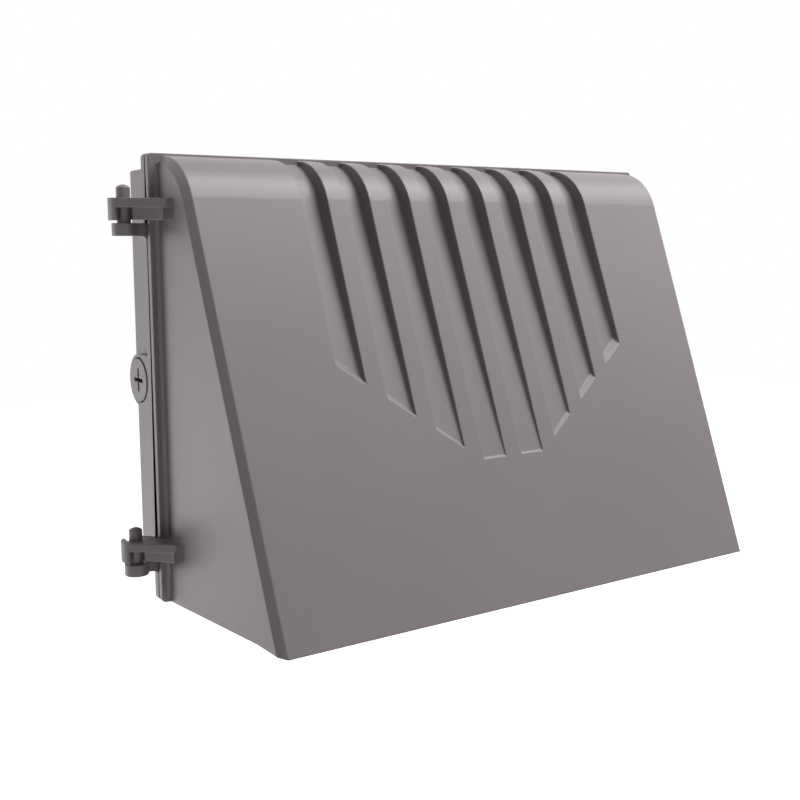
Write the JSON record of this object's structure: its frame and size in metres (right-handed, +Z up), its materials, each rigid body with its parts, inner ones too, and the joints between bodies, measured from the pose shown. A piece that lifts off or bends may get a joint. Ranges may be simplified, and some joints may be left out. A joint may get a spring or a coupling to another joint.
{
  "type": "wall pack light",
  "caption": "Hinged wall pack light: a cast wedge door with tapering grooves swings on side pins over a shallow wall housing, with a downward LED lamp and a driver inside.",
  "frame": {"origin": "middle of the four wall screw holes, on the plane of the back face", "axes": "+Z up, -Y towards the front, +Y into the wall, +X to the right of someone who faces the light"},
  "size_m": [0.3978, 0.1626, 0.25],
  "materials": {
    "housing_paint": "satin powder coat",
    "plug_paint": "satin powder coat",
    "black_rubber": "matt",
    "white_silicone": "matt",
    "clear_glass": "clear",
    "green_screw": "gloss",
    "zinc_steel": "zinc plated",
    "white_reflector": "gloss white",
    "white_board": "gloss",
    "yellow_chip": "gloss",
    "bare_aluminium": "brushed",
    "zinc_sheet": "zinc plated",
    "driver_case": "satin",
    "black_plastic": "matt",
    "white_nylon": "satin",
    "brass_screw": "plated",
    "red_lead": "satin",
    "black_lead": "satin",
    "white_lead": "satin",
    "green_lead": "satin"
  },
  "bodies": {
    "housing": {"rear_housing": "housing_paint", "hinge_pins": "housing_paint", "conduit_plugs": "plug_paint", "plug_seals": "black_rubber", "wire_bushing": "black_rubber", "door_gasket": "black_rubber", "supply_ground_screw": "green_screw"},
    "door": {"door": "housing_paint", "lens_gasket": "white_silicone", "lens_glass": "clear_glass", "lens_frame": "housing_paint", "lens_frame_screws": "zinc_steel", "reflector": "white_reflector", "lamp_board": "white_board", "lamp_chips": "yellow_chip", "board_screws": "zinc_steel", "heat_spreader": "bare_aluminium", "spreader_screws": "zinc_steel", "lead_grommet": "black_rubber", "lead_clip": "white_nylon", "driver_tray": "zinc_sheet", "tray_screws": "zinc_steel", "driver": "driver_case", "driver_screws": "zinc_steel", "terminal_block": "black_plastic", "terminal_screws": "brass_screw", "block_screws": "zinc_steel", "lamp_lead_positive": "red_lead", "lamp_lead_negative": "black_lead", "driver_lead_line": "black_lead", "driver_lead_neutral": "white_lead", "ground_lead": "green_lead", "door_ground_screw": "green_screw"},
    "door_screw_upper": {"door_screw_upper": "zinc_steel"},
    "door_screw_lower": {"door_screw_lower": "zinc_steel"}
  },
  "joints": [
    {"name": "door_hinge", "type": "hinge", "parent": "housing", "child": "door", "pos_m": [-0.1926, -0.035, 0], "axis": [0, 0, -1], "range_deg": [0, 100]},
    {"name": "upper_screw_slide", "type": "slide", "parent": "door", "child": "door_screw_upper", "axis": [0, -1, 0], "range_m": [0, 0.009]},
    {"name": "lower_screw_slide", "type": "slide", "parent": "door", "child": "door_screw_lower", "axis": [0, -1, 0], "range_m": [0, 0.009]}
  ]
}
